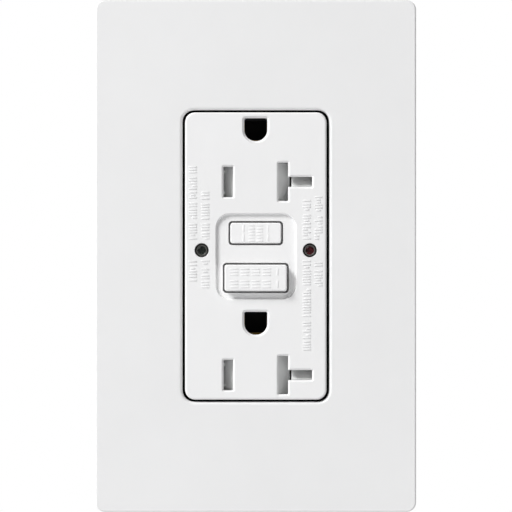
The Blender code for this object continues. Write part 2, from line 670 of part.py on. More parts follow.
def rear_housing():
    """The dark tub: side windows for the terminal screws, wire holes at the back, four screw posts."""
    outside = slab(round_outline(BODY_WIDTH, BODY_HEIGHT, BODY_RADIUS), SPLIT + GAP, BODY_REAR)
    inside = round_outline(BODY_WIDTH - 2 * BODY_WALL, BODY_HEIGHT - 2 * BODY_WALL, 1.5)
    parts = [boolean(outside, [slab(inside, 5, BODY_REAR - BODY_WALL)], "DIFFERENCE")]
    cuts = []
    inner_x = BODY_WIDTH / 2 - BODY_WALL
    for side in (-1, 1):
        parts.append(block(*mirrored(side, 17.6, inner_x + 0.1), 11.4, 26.1, -4, 4))
        for end in (-1, 1):
            x, z = side * SCREW_X, end * SCREW_Z
            parts.append(rod(3.1, 7.0, 26.2, x, z))
            parts.append(rod(1.2, 25.5, 26.1, side * 11, end * 29, 12))
            cuts.append(rod(1.5, 5, 28, x, z, 16))
            cuts.append(rod(2.7, 25.4, 28, x, z, 16))
            middle = end * TERMINAL_Z
            cuts.append(block(*mirrored(side, 18, 22), 11.6, 20.4, middle - 4.4, middle + 4.4))
            cuts += [rod(1.4, 25, 28, side * 16.45, middle + step, 12) for step in (-3.1, 3.1)]
    return add_node("rear_housing", "housing_plastic", parts, cuts)


def housing_screw(name, x, z):
    parts = [rod(2.4, 25.7, 27.2, x, z, 16), rod(1.2, 2.0, 25.9, x, z, 12)]
    cross = [
        block(x - 1.3, x + 1.3, 26.4, 28, z - 0.3, z + 0.3),
        block(x - 0.3, x + 0.3, 26.4, 28, z - 1.3, z + 1.3),
    ]
    return add_node(name, "zinc_steel", parts, cross)


# ---------------------------------------------------------------- the whole assembly

def build():
    cover_plate()
    adapter_plate()
    mounting_strap()
    ground_screw()
    face_cover()
    test_button()
    reset_button()
    reset_shaft()
    add_coil("reset_spring", "spring_steel", "Y", (0, 0, RESET_Z), 2.2, 0.25, -2.9, 9.1, 8)
    middle_housing()
    contact_carriage()
    latch_plate()
    plunger()
    solenoid()
    test_contact_arm()
    circuit_board()
    sensor()
    board_parts()
    rear_housing()
    for end, place in (("upper", 1), ("lower", -1)):
        adapter_screw(f"adapter_screw_{end}", place * PLATE_SCREW_Z)
        box_screw(f"box_screw_{end}", place * BOX_SCREW_Z)
        for hand, side in (("left", -1), ("right", 1)):
            housing_screw(f"housing_screw_{end}_{hand}", side * SCREW_X, place * SCREW_Z)
    for outlet, (slot_z, ground_z) in OUTLETS.items():
        ground_contact(f"{outlet}_ground_contact", ground_z)
        wedge_shutter(f"{outlet}_hot_shutter", -1, slot_z, HOT_HEIGHT + 1.0)
        wedge_shutter(f"{outlet}_neutral_shutter", 1, slot_z, NEUTRAL_HEIGHT - 0.1)
        cross_shutter(f"{outlet}_cross_shutter", slot_z)
        middle = (0, (SHUTTER_FRONT + SHUTTER_REAR) / 2, slot_z)
        add_coil(f"{outlet}_shutter_spring", "spring_steel", "X", middle, 0.8, 0.15, -4.1, 4.1, 6)
    for wire, metal, side in (("hot", "brass", -1), ("neutral", "nickel", 1)):
        contact_strip(f"{wire}_contact_strip", metal, side)
        line_terminal(f"{wire}_line_terminal", metal, side)
        contact_arm(f"{wire}_contact_arm", metal, side)
        for feed, place in (("load", 1), ("line", -1)):
            terminal_screw(f"{wire}_{feed}_screw", metal, side, place * TERMINAL_Z)
            clamp_plate(f"{wire}_{feed}_clamp", side, place * TERMINAL_Z)
    light_pipe("status_light_pipe", -1)
    light_pipe("fault_light_pipe", 1)


for leftover in list(bpy.data.objects):
    bpy.data.objects.remove(leftover)
build()
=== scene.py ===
import math
import random

import bmesh
import bpy
from mathutils import Matrix, Vector


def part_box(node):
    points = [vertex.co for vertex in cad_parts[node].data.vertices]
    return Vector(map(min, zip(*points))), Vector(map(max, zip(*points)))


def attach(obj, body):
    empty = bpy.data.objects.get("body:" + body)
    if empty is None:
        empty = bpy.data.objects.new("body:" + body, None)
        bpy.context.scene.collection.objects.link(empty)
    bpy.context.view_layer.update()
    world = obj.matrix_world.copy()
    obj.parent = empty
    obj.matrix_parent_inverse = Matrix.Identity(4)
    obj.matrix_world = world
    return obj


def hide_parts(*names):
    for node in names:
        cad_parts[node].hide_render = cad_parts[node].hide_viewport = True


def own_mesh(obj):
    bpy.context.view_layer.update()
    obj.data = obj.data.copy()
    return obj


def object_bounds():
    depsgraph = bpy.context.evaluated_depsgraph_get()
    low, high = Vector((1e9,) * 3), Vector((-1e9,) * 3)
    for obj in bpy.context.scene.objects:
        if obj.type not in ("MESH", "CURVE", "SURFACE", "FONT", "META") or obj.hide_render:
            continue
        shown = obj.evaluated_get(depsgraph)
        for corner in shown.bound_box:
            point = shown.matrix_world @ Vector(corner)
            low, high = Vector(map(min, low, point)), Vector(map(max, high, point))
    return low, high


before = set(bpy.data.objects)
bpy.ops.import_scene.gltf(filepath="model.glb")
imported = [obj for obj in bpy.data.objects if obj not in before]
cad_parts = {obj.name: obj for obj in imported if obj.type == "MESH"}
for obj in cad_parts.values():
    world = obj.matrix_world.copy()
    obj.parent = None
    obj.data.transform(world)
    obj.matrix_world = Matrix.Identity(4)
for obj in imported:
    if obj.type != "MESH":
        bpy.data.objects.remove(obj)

cad_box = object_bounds()

# ---------------------------------------------------------------- studio
# A white surround, a plain pale floor well below the device, and soft lights from the upper left.
# The camera looks straight at the middle of the plate through a long lens.

MM = 0.001
CAMERA_DISTANCE = 1.2
SURROUND_GLOW = 0.12
FLOOR_DROP = 0.09


def linear(colour):
    """An sRGB hex colour as linear RGBA."""
    values = [int(colour[i:i + 2], 16) / 255 for i in (0, 2, 4)]
    return tuple(v / 12.92 if v <= 0.04045 else ((v + 0.055) / 1.055) ** 2.4 for v in values) + (1.0,)


def add(tree, kind, inputs=None, **settings):
    """A new node with its settings, and with each input linked or set."""
    made = tree.nodes.new(kind)
    for name, value in settings.items():
        setattr(made, name, value)
    for name, value in (inputs or {}).items():
        if isinstance(value, bpy.types.NodeSocket):
            tree.links.new(value, made.inputs[name])
        else:
            made.inputs[name].default_value = value
    return made


def link(thing):
    """Puts a new object in the scene."""
    bpy.context.scene.collection.objects.link(thing)
    return thing


bpy.context.scene.view_settings.view_transform = "Standard"
low, high = cad_box
plate_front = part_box("cover_plate")[0].y
lens = bpy.data.cameras.new("camera")
lens.sensor_width = 36.0
lens.lens = lens.sensor_width * CAMERA_DISTANCE / (high.z - low.z)
lens.clip_start, lens.clip_end = 0.05, 20.0
camera = link(bpy.data.objects.new("camera", lens))
camera.location = (0.05 * MM, plate_front - CAMERA_DISTANCE, (low.z + high.z) / 2)
camera.rotation_euler = (math.radians(90), 0, 0)
bpy.context.scene.camera = camera

surround = bpy.data.worlds.new("white_surround")
surround.use_nodes = True
surround.node_tree.nodes.clear()
glow = add(surround.node_tree, "ShaderNodeBackground", {"Color": (1, 1, 1, 1), "Strength": SURROUND_GLOW})
white = add(surround.node_tree, "ShaderNodeBackground", {"Color": (1, 1, 1, 1), "Strength": 1.0})
seen = add(surround.node_tree, "ShaderNodeLightPath").outputs["Is Camera Ray"]
both = add(surround.node_tree, "ShaderNodeMixShader", {0: seen, 1: glow.outputs[0], 2: white.outputs[0]})
add(surround.node_tree, "ShaderNodeOutputWorld", {"Surface": both.outputs[0]})
bpy.context.scene.world = surround

# name: place in metres, size in metres, watts
LIGHTS = {
    "key": ((-1.40, -1.25, 1.56), 1.06, 62.0),
    "fill": ((0.9, -1.5, -0.3), 1.0, 1.2),
    "back": ((1.0, 1.3, 1.1), 0.9, 26.0),
    "back_fill": ((-1.3, 0.9, 0.3), 0.9, 10.0),
}
for name, (place, size, watts) in LIGHTS.items():
    panel = bpy.data.lights.new(name, "AREA")
    panel.shape = "DISK"
    panel.size = size
    panel.energy = watts
    stand = link(bpy.data.objects.new(name, panel))
    stand.location = place
    stand.rotation_euler = (-Vector(place)).to_track_quat("-Z", "Y").to_euler()


def new_material(name):
    """An empty material and its node tree."""
    made = bpy.data.materials.new(name)
    made.use_nodes = True
    made.node_tree.nodes.clear()
    return made, made.node_tree


def two_tones(tree, value, first, second):
    """A ramp between two hex colours."""
    ramp = add(tree, "ShaderNodeValToRGB", {"Fac": value})
    ramp.color_ramp.elements[0].position = 0.3
    ramp.color_ramp.elements[1].position = 0.7
    ramp.color_ramp.elements[0].color = linear(first)
    ramp.color_ramp.elements[1].color = linear(second)
    return ramp.outputs["Color"]


# Painted board, rolled on: a pale even tone with a faint orange-peel skin.
painted_floor, tree = new_material("painted_floor")
place = add(tree, "ShaderNodeTexCoord").outputs["Object"]
peel = add(tree, "ShaderNodeTexNoise", {"Vector": place, "Scale": 1 / (4 * MM), "Detail": 2.0}).outputs["Fac"]
shader = add(tree, "ShaderNodeBsdfPrincipled", {
    "Base Color": two_tones(tree, peel, "D5D5D6", "D9D9DA"),
    "Roughness": 0.7,
    "Normal": add(tree, "ShaderNodeBump", {
        "Height": peel, "Strength": 0.05, "Distance": 0.1 * MM,
    }).outputs["Normal"],
})
add(tree, "ShaderNodeOutputMaterial", {"Surface": shader.outputs[0]})
sheet_mesh = bmesh.new()
bmesh.ops.create_grid(sheet_mesh, x_segments=1, y_segments=1, size=1.5)
bmesh.ops.translate(sheet_mesh, verts=sheet_mesh.verts, vec=(0, 0, low.z - FLOOR_DROP))
floor_data = bpy.data.meshes.new("floor")
sheet_mesh.to_mesh(floor_data)
sheet_mesh.free()
floor_data.materials.append(painted_floor)
link(bpy.data.objects.new("floor", floor_data))

# ---------------------------------------------------------------- cover plate
# A shallow white lid that presses over the adapter plate; eight small ribs inside its walls hold it.
# It is injection moulded, with soft outer edges and a rolled lip round its window.

WINDOW = (34.15, 67.9, 2.7)
PLATE_WALL = 2.0
RIB_FRONT, RIB_FOOT = -5.6, -0.6
SIDE_RIBS, END_RIBS = (-30, 30), (-18, 18)
PLATE_EDGE = 0.4
WINDOW_LIP = 0.75


def span(node):
    """A CAD node's lowest and highest corners, in millimetres."""
    first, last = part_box(node)
    return first / MM, last / MM


def middle(node):
    """The middle of a CAD node's box, in millimetres."""
    first, last = span(node)
    return (first + last) / 2


def round_face(shape, width, height, corner, x, y, z, foot=None, steps=6):
    """A flat face towards the room with round corners; foot is the radius of the two lower ones."""
    turn = Matrix.Rotation(math.radians(90), 4, "X")
    place = Matrix.Translation((x, y, z)) @ turn @ Matrix.Diagonal((width, height, 1, 1))
    corners = bmesh.ops.create_grid(shape, x_segments=1, y_segments=1, size=0.5, matrix=place)["verts"]
    upper = [v for v in corners if v.co.z > z]
    lower = [v for v in corners if v.co.z < z]
    for ends, radius in ((upper, corner), (lower, corner if foot is None else foot)):
        made = bmesh.ops.bevel(
            shape, geom=ends, offset=radius, affect="VERTICES", segments=steps, profile=0.5, material=-1,
        )["verts"]
    return made[0].link_faces[0]


def stack(width, height, corner, levels, x=0.0, z=0.0, foot=None, steps=6):
    """A closed solid through (y, growth) levels of one rounded outline."""
    shape = bmesh.new()
    faces = []
    for y, grow in levels:
        heel = None if foot is None else foot + grow
        faces.append(round_face(
            shape, width + 2 * grow, height + 2 * grow, corner + grow, x, y, z, heel, steps,
        ))
    for first, second in zip(faces, faces[1:]):
        bmesh.ops.bridge_loops(shape, edges=list(first.edges) + list(second.edges))
    bmesh.ops.delete(shape, geom=faces[1:-1], context="FACES_ONLY")
    bmesh.ops.recalc_face_normals(shape, faces=shape.faces)
    return shape


def quarter(y, depth, growth, steps=5):
    """Levels of a quarter round that starts upright at y and ends flat, depth further on."""
    turns = [math.radians(90 * i / steps) for i in range(steps + 1)]
    return [(y + depth * math.sin(a), growth * (1 - math.cos(a))) for a in turns]


def block(x0, x1, y0, y1, z0, z1, ease=0.0):
    """A rectangular block with eased edges."""
    shape = bmesh.new()
    size, centre = (x1 - x0, y1 - y0, z1 - z0), ((x0 + x1) / 2, (y0 + y1) / 2, (z0 + z1) / 2)
    bmesh.ops.create_cube(shape, size=1.0, matrix=Matrix.Translation(centre) @ Matrix.Diagonal((*size, 1)))
    if ease:
        bmesh.ops.bevel(
            shape, geom=list(shape.edges), offset=ease, affect="EDGES", segments=2, profile=0.5, material=-1,
        )
    return shape


def carve(shape, tools, operation="DIFFERENCE"):
    """The shape with every tool cut from it, or joined to it."""
    made = []
    for mesh in (shape, *tools):
        data = bpy.data.meshes.new("work")
        mesh.to_mesh(data)
        mesh.free()
        made.append(link(bpy.data.objects.new("work", data)))
    for tool in made[1:]:
        step = made[0].modifiers.new("step", "BOOLEAN")
        step.operation = operation
        step.solver = "EXACT"
        step.object = tool
    bpy.context.view_layer.update()
    solid = made[0].evaluated_get(bpy.context.evaluated_depsgraph_get())
    result = bmesh.new()
    result.from_mesh(solid.to_mesh())
    solid.to_mesh_clear()
    for thing in made:
        data = thing.data
        bpy.data.objects.remove(thing)
        bpy.data.meshes.remove(data)
    bmesh.ops.dissolve_degenerate(result, dist=0.0002, edges=result.edges)
    return result


def finish_piece(name, shape, material, body, nodes=(), crease=32.0):
    """Makes a millimetre mesh a named piece in metres, facing outwards, and hangs it on its body."""
    bmesh.ops.scale(shape, vec=(MM, MM, MM), verts=shape.verts)
    if shape.calc_volume(signed=True) < 0:
        bmesh.ops.reverse_faces(shape, faces=shape.faces)
    data = bpy.data.meshes.new(name)
    shape.to_mesh(data)
    shape.free()
    data.shade_smooth()
    data.set_sharp_from_angle(angle=math.radians(crease))
    data.materials.append(material)
    piece = link(bpy.data.objects.new(name, data))
    even = piece.modifiers.new("even_shading", "WEIGHTED_NORMAL")
    even.keep_sharp = True
    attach(piece, body)
    if nodes:
        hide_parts(*nodes)
    return piece


def moulded_plastic(name, light, dark, roughness, grain, relief):
    """Moulded plastic: two close tones, and a skin of fine grain (its size in mm) that breaks its gloss."""
    made, tree = new_material(name)
    place = add(tree, "ShaderNodeTexCoord").outputs["Object"]
    flow = add(tree, "ShaderNodeTexNoise", {"Vector": place, "Scale": 1 / (15 * MM), "Detail": 3.0})
    skin = add(tree, "ShaderNodeTexNoise", {"Vector": place, "Scale": 1 / (grain * MM), "Detail": 3.0})
    gloss = add(tree, "ShaderNodeMapRange", {
        "Value": skin.outputs["Fac"], "From Min": 0.3, "From Max": 0.7,
        "To Min": roughness - 0.06, "To Max": roughness + 0.06,
    })
    bump = add(tree, "ShaderNodeBump", {
        "Height": skin.outputs["Fac"], "Strength": relief, "Distance": 0.05 * MM,
    })
    shader = add(tree, "ShaderNodeBsdfPrincipled", {
        "Base Color": two_tones(tree, flow.outputs["Fac"], dark, light),
        "Roughness": gloss.outputs["Result"],
        "IOR": 1.5,
        "Normal": bump.outputs["Normal"],
    })
    add(tree, "ShaderNodeOutputMaterial", {"Surface": shader.outputs["BSDF"]})
    return made


# White polycarbonate from a finely spark-eroded mould: clean, cool white with a satin sheen.
white_plastic = moulded_plastic("satin_white_polycarbonate", "F1F1F1", "EFEFEF", 0.50, 0.35, 0.10)

first, last = span("cover_plate")
plate_width, plate_height = last.x - first.x, last.z - first.z
front = first.y
outside = [(0, 0)] + [
    (y, -g) for y, g in quarter(front + PLATE_EDGE, -PLATE_EDGE, PLATE_EDGE)
]
plate = stack(plate_width, plate_height, 2.2, outside)
inner_width, inner_height = plate_width - 2 * PLATE_WALL, plate_height - 2 * PLATE_WALL
plate = carve(plate, [stack(inner_width, inner_height, 1.5, [(1, 0), (-5.4, 0)])])
joined = [stack(WINDOW[0] + 3.8, WINDOW[1] + 3.8, WINDOW[2] + 1.9, [(-3.8, -0.3), (-4.1, 0), (-5.6, 0)])]
wall_x, wall_z = inner_width / 2, inner_height / 2
for side in (-1, 1):
    for place in SIDE_RIBS:
        across = sorted((side * (wall_x - 0.6), side * (wall_x + 0.5)))
        joined.append(block(*across, RIB_FRONT, RIB_FOOT, place - 4, place + 4, 0.2))
    for place in END_RIBS:
        up = sorted((side * (wall_z - 0.6), side * (wall_z + 0.5)))
        joined.append(block(place - 4, place + 4, RIB_FRONT, RIB_FOOT, *up, 0.2))
plate = carve(plate, joined, "UNION")
lip = quarter(front + WINDOW_LIP, -WINDOW_LIP, WINDOW_LIP)
window = stack(*WINDOW, [(1, 0)] + lip + [(front - 1, WINDOW_LIP)])
plate = carve(plate, [window])
finish_piece("cover_lid", plate, white_plastic, "cover", ["cover_plate"])

# ---------------------------------------------------------------- device face
# The white face of the device with both outlets and the sunk pocket of its two buttons.
# It is moulded in one piece with the base that closes the housing, and its slots have soft lead-ins.

FACE = (32.9, 66.8, 2.3)
BODY = (42.4, 69.4, 3.0)
FACE_INSIDE = -6.0
POCKET = (18.42, 19.74, 3.2)
POCKET_FLOOR = -7.2
TEST_HOLE = (12.7, 5.62, 0.9)
RESET_HOLE = (15.36, 7.0, 0.9)
LAMP_HOLE = 1.63
SLOT_WIDTH = 2.23
HOT_HEIGHT = 7.1
NEUTRAL_HEIGHT = 8.9
CROSS_HEIGHT = 2.33
GROUND_HOLE = 5.35
LEAD_IN = 0.42
BLADE_X, CROSS_END = 6.4, 13.1
SCREW_X, SCREW_Z = 18.0, 31.4
first, last = span("face_cover")
face_front, face_base = first.y, last.y
test_place, reset_place = middle("test_button"), middle("reset_button")
lamp_places = {"status": middle("status_light_pipe"), "fault": middle("fault_light_pipe")}
ground_places = {"upper": 29.4, "lower": -15.66}
slot_places = {end: middle(f"{end}_hot_shutter").z for end in ("upper", "lower")}


def turned(profile, x, z, sides=40):
    """A body of revolution about a line along Y, from (radius, y) points; both ends are closed."""
    shape = bmesh.new()
    points = [(0.0, profile[0][1]), *profile, (0.0, profile[-1][1])]
    corners = [shape.verts.new((x + radius, y, z)) for radius, y in points]
    edges = [shape.edges.new(pair) for pair in zip(corners, corners[1:])]
    bmesh.ops.spin(
        shape, geom=corners + edges, cent=(x, 0, z), axis=(0, 1, 0), angle=math.radians(360),
        steps=sides, use_merge=True,
    )
    bmesh.ops.remove_doubles(shape, verts=shape.verts, dist=0.0005)
    bmesh.ops.recalc_face_normals(shape, faces=shape.faces)
    return shape


def lead_in(soft=LEAD_IN):
    """Levels of a hole through the face, with a chamfered mouth."""
    return [
        (-5, 0), (face_front + soft, 0), (face_front + 0.05, soft * 0.93), (face_front - 0.4, soft + 0.35),
    ]


nose = stack(*FACE, [(0, 0)] + [(y, -g) for y, g in quarter(face_front + 0.5, -0.5, 0.5)])
base = stack(*BODY, [(face_base, 0), (-0.7, 0), (-1.0, -0.3)])
face = carve(nose, [base], "UNION")
face = carve(face, [
    stack(29.7, 64.8, 0.4, [(face_base + 1, 0), (FACE_INSIDE, 0)], steps=2),
    stack(BODY[0] - 3, BODY[1] - 3, 1.5, [(face_base + 1, 0), (0.3, 0)]),
])
inside_parts = []
for side in (-1, 1):
    for end in (-1, 1):
        inside_parts.append(turned([(2.8, 0.1), (2.8, 5.8)], side * SCREW_X, end * SCREW_Z, 36))
    for slot_z in slot_places.values():
        for rib_z in (slot_z - 5.4, slot_z + 4.8):
            if abs(rib_z) < 31:
                across = sorted((side * 3.0, side * 8.0))
                inside_parts.append(block(*across, FACE_INSIDE - 0.2, -2.6, rib_z, rib_z + 0.7, 0.1))
face = carve(face, inside_parts, "UNION")
pocket_x, pocket_z = 0.07, -0.13
cuts = [stack(*POCKET, [
    (POCKET_FLOOR, 0), (POCKET_FLOOR - 0.12, 0.04), (face_front + 0.25, 0.09), (face_front + 0.07, 0.17),
    (face_front, 0.28), (face_front - 0.3, 0.7),
], pocket_x, pocket_z)]
for hole, place in ((TEST_HOLE, test_place), (RESET_HOLE, reset_place)):
    cuts.append(stack(*hole, [
        (-5, 0.3), (-6.6, 0.3), (-6.65, 0), (POCKET_FLOOR + 0.05, 0), (POCKET_FLOOR - 0.05, 0.06),
        (POCKET_FLOOR - 0.5, 0.15),
    ], place.x, place.z))
for place in lamp_places.values():
    cuts.append(turned([
        (LAMP_HOLE, -5), (LAMP_HOLE, face_front + 0.12), (LAMP_HOLE + 0.2, face_front - 0.1),
    ], place.x, place.z))
for end in ("upper", "lower"):
    slot_z = slot_places[end]
    cuts.append(stack(SLOT_WIDTH, HOT_HEIGHT, 0.15, lead_in(), -BLADE_X, slot_z, steps=3))
    cuts.append(stack(SLOT_WIDTH, NEUTRAL_HEIGHT, 0.15, lead_in(), BLADE_X, slot_z, steps=3))
    cuts.append(stack(
        CROSS_END - BLADE_X, CROSS_HEIGHT, 0.15, lead_in(), (CROSS_END + BLADE_X) / 2, slot_z, steps=3,
    ))
    cuts.append(stack(
        GROUND_HOLE, GROUND_HOLE, 0.35, lead_in(0.5), 0, ground_places[end],
        foot=GROUND_HOLE / 2 * 0.98, steps=12,
    ))
for side in (-1, 1):
    for end in (-1, 1):
        cuts.append(turned([(1.5, 1.5), (1.5, 7)], side * SCREW_X, end * SCREW_Z, 37))
        across = sorted((end * SCREW_Z, end * 35.5))
        if side > 0:
            cuts.append(block(-9.3, 9.3, -1.6, 0.5, *across))
face = carve(face, cuts)

# Faint raised strokes stand where such a face carries its moulded wording; they spell nothing.
STROKE_ROWS = (
    (-14.65, -5.8, -1.0), (-14.65, 3.9, 20.9), (-11.75, -7.4, -1.0), (-11.75, 3.9, 14.9),
    (11.85, -21.9, -1.2), (11.85, 3.9, 13.0), (14.55, -7.0, -1.0), (14.55, 3.9, 15.1),
)
STROKE_HEIGHT = 0.13
strokes = []
chance = random.Random(5)
for x, z_low, z_high in STROKE_ROWS:
    z = z_low
    while z < z_high:
        for stroke in range(chance.randint(5, 11)):
            if z < z_high:
                reach = chance.choice((0.9, 0.9, 0.9, 0.5))
                lean = chance.choice((0, 0, 0.9 - reach, reach - 0.9))
                strokes.append(block(
                    x + lean - reach, x + lean + reach, face_front - STROKE_HEIGHT, face_front + 0.1,
                    z, z + 0.32, 0.06,
                ))
            z += chance.choice((0.62, 0.62, 0.85))
        z += 0.7


def bundle(shapes):
    """Several meshes as one."""
    whole = bmesh.new()
    for shape in shapes:
        data = bpy.data.meshes.new("work")
        shape.to_mesh(data)
        shape.free()
        whole.from_mesh(data)
        bpy.data.meshes.remove(data)
    return whole


face = carve(face, [bundle(strokes)], "UNION")
# The device's own white plastic, a shade brighter than the cover's.
face_plastic = moulded_plastic("clean_white_polycarbonate", "F5F5F5", "F3F3F3", 0.50, 0.35, 0.10)
finish_piece("device_face", face, face_plastic, "device", ["face_cover"])

# ---------------------------------------------------------------- test and reset buttons
# Two white push buttons in the pocket: the test button lies nearly flush, the reset button stands proud.
# Each is moulded with a flange that keeps it behind the face; the reset button pushes a steel shaft.

BUTTON_GAP = 0.42
BAR_STEPS = (-0.72, 0, 0.72)
# The buttons come from a polished mould, so they shine a little more than the face.
button_plastic = moulded_plastic("polished_white_polycarbonate", "F9F9F9", "F7F7F7", 0.42, 0.35, 0.08)


def button(name, node, hole, top, roll, flange, shank, rows, columns, spread, uprights, body, bore=None):
    """A cap with a rolled rim, its flange and shank, rows of plain raised bars, and a bore for a shaft."""
    place = middle(node)
    width, height, corner = hole[0] - 2 * BUTTON_GAP, hole[1] - 2 * BUTTON_GAP, 0.62
    rim = [(y, -g) for y, g in quarter(top + roll, -roll, roll, 6)]
    cap = stack(width, height, corner, [(-5.5, 0)] + rim, place.x, place.z)
    parts = [stack(*flange, [(-4.7, 0), (-5.1, 0)], place.x, place.z), shank]
    step_x, step_z = spread / columns, (height - 0.5) / 2
    for row in range(rows):
        for column in range(columns):
            x = place.x + (column - (columns - 1) / 2) * step_x
            z = place.z + (row - (rows - 1) / 2) * step_z
            half = step_x * 0.38
            if column in uprights:
                parts.append(block(x - 0.22, x + 0.22, top - 0.07, top + 0.2, z - 0.8, z + 0.8, 0.05))
            else:
                for lift in BAR_STEPS:
                    parts.append(block(
                        x - half, x + half, top - 0.1, top + 0.2, z + lift - 0.16, z + lift + 0.16, 0.06,
                    ))
    cap = carve(cap, parts, "UNION")
    if bore:
        cap = carve(cap, [turned([(bore, -7.0), (bore, -3)], place.x, place.z)])
    finish_piece(name, cap, button_plastic, body, [node])


test_stem = block(-1.2, 1.2, -4.9, 2.0, test_place.z - 0.8, test_place.z + 0.8, 0.15)
button(
    "test_cap", "test_button", TEST_HOLE, -7.6, 0.32, (14.0, 6.43, 1.0), test_stem,
    rows=2, columns=4, spread=7.6, uprights=(0, 3), body="test_button",
)
reset_hub = turned([(2.4, -4.9), (2.4, -3.2)], reset_place.x, reset_place.z)
button(
    "reset_cap", "reset_button", RESET_HOLE, -9.75, 0.42, (16.96, 8.23, 1.0), reset_hub,
    rows=2, columns=5, spread=12.6, uprights=(4,), body="reset_button", bore=1.5,
)

# ---------------------------------------------------------------- indicator lenses
# Two light pipes carry the lamps on the board to the face: status on the left, fault on the right.
# Each is a round moulding of tinted clear plastic with a polished, slightly sunk end.


def tinted_lens(name, light, dark):
    """Smoked clear plastic: a dark tint with faint clouds under a polished skin."""
    made, tree = new_material(name)
    place = add(tree, "ShaderNodeTexCoord").outputs["Object"]
    speck = add(tree, "ShaderNodeTexNoise", {"Vector": place, "Scale": 1 / (0.5 * MM), "Detail": 2.0})
    shader = add(tree, "ShaderNodeBsdfPrincipled", {
        "Base Color": two_tones(tree, speck.outputs["Fac"], dark, light),
        "Roughness": 0.16,
        "IOR": 1.49,
        "Coat Weight": 0.5,
        "Coat Roughness": 0.05,
    })
    add(tree, "ShaderNodeOutputMaterial", {"Surface": shader.outputs["BSDF"]})
    return made


# The ground rim of each light pipe, frosted where it scatters the light.
frosted_rim = moulded_plastic("frosted_lens_rim", "585854", "4C4C48", 0.35, 0.3, 0.10)
tints = {
    "status": tinted_lens("smoked_green_lens", "2A302C", "1A1E1C"),
    "fault": tinted_lens("smoked_red_lens", "4A1218", "2C0A0E"),
}
for name, place in lamp_places.items():
    first, last = span(f"{name}_light_pipe")
    rod = turned([
        (0.72, first.y + 0.5), (0.98, first.y + 0.28), (1.02, first.y + 0.06), (1.10, first.y),
        (1.22, first.y + 0.04), (1.3, first.y + 0.16), (1.3, -5.7), (2.0, -5.7), (2.0, -4.8), (1.3, -4.8),
        (1.3, last.y - 0.1), (1.2, last.y),
    ], place.x, place.z, 48)
    piece = finish_piece(f"{name}_lens", rod, frosted_rim, "device", [f"{name}_light_pipe"])
    piece.data.materials.append(tints[name])
    for polygon in piece.data.polygons:
        away = math.hypot(polygon.center.x - place.x * MM, polygon.center.z - place.z * MM)
        if away < 1.04 * MM and polygon.center.y < -7 * MM:
            polygon.material_index = 1

# ---------------------------------------------------------------- shutters
# Grey gates close every blade slot until both blades push at once; each slides on ramps under the face.
# They are moulded in a slippery grey plastic, and small return springs hold them shut.

RAMP_FOOT = -3.6
shutter_plastic = moulded_plastic("pale_grey_acetal", "F4F5F4", "EEEFEE", 0.42, 0.5, 0.10)


def turn(shape, axis, degrees):
    """Turns a mesh about an axis through the origin."""
    bmesh.ops.rotate(
        shape, verts=shape.verts, cent=(0, 0, 0), matrix=Matrix.Rotation(math.radians(degrees), 3, axis),
    )
    return shape


def wedge(points, depth_low, depth_high, ease):
    """A prism from (x, y) points, drawn out along Z, with eased edges."""
    shape = bmesh.new()
    corners = [shape.verts.new((x, y, depth_low)) for x, y in points]
    flat = shape.faces.new(corners)
    drawn = bmesh.ops.extrude_face_region(shape, geom=[flat])["geom"]
    tops = [v for v in drawn if isinstance(v, bmesh.types.BMVert)]
    bmesh.ops.translate(shape, verts=tops, vec=(0, 0, depth_high - depth_low))
    bmesh.ops.recalc_face_normals(shape, faces=shape.faces)
    bmesh.ops.bevel(
        shape, geom=list(shape.edges), offset=ease, affect="EDGES", segments=2, profile=0.5, material=-1,
    )
    return shape


def metal(name, light, dark, roughness, grain, relief, clean=1.0):
    """Bare or plated metal: two tones in drifting patches, and a fine grain (its size in mm) in its gloss."""
    made, tree = new_material(name)
    place = add(tree, "ShaderNodeTexCoord").outputs["Object"]
    patch = add(tree, "ShaderNodeTexNoise", {"Vector": place, "Scale": 1 / (4 * MM), "Detail": 4.0})
    rolled = add(tree, "ShaderNodeMapping", {"Vector": place, "Scale": (1.0, 1.0, 0.12)})
    marks = add(tree, "ShaderNodeTexNoise", {
        "Vector": rolled.outputs["Vector"], "Scale": 1 / (grain * MM), "Detail": 3.0,
    })
    gloss = add(tree, "ShaderNodeMapRange", {
        "Value": marks.outputs["Fac"], "From Min": 0.3, "From Max": 0.7,
        "To Min": roughness - 0.08, "To Max": roughness + 0.1,
    })
    bump = add(tree, "ShaderNodeBump", {
        "Height": marks.outputs["Fac"], "Strength": relief, "Distance": 0.03 * MM,
    })
    shader = add(tree, "ShaderNodeBsdfPrincipled", {
        "Base Color": two_tones(tree, patch.outputs["Fac"], dark, light),
        "Metallic": clean,
        "Roughness": gloss.outputs["Result"],
        "Normal": bump.outputs["Normal"],
    })
    add(tree, "ShaderNodeOutputMaterial", {"Surface": shader.outputs["BSDF"]})
    return made


def coil_spring(name, centre, radius, wire, start, end, turns, node, along="Y"):
    """Round wire wound about a line along Y or X, from start to end."""
    shape = bmesh.new()
    low_y, high_y = start + wire, end - wire
    bmesh.ops.create_circle(
        shape, cap_ends=True, segments=10, radius=wire, matrix=Matrix.Translation((radius, low_y, 0)),
    )
    bmesh.ops.spin(
        shape, geom=list(shape.verts) + list(shape.edges) + list(shape.faces), cent=(0, 0, 0), axis=(0, 1, 0),
        dvec=(0, (high_y - low_y) / (turns * 24), 0), angle=math.radians(360 * turns), steps=turns * 24,
    )
    bmesh.ops.recalc_face_normals(shape, faces=shape.faces)
    place = (centre.x, 0, centre.z)
    if along == "X":
        turn(shape, "Z", 90)
        place = (0, centre.y, centre.z)
    bmesh.ops.translate(shape, verts=shape.verts, vec=place)
    return finish_piece(name, shape, spring_steel, "device", [node], 60)


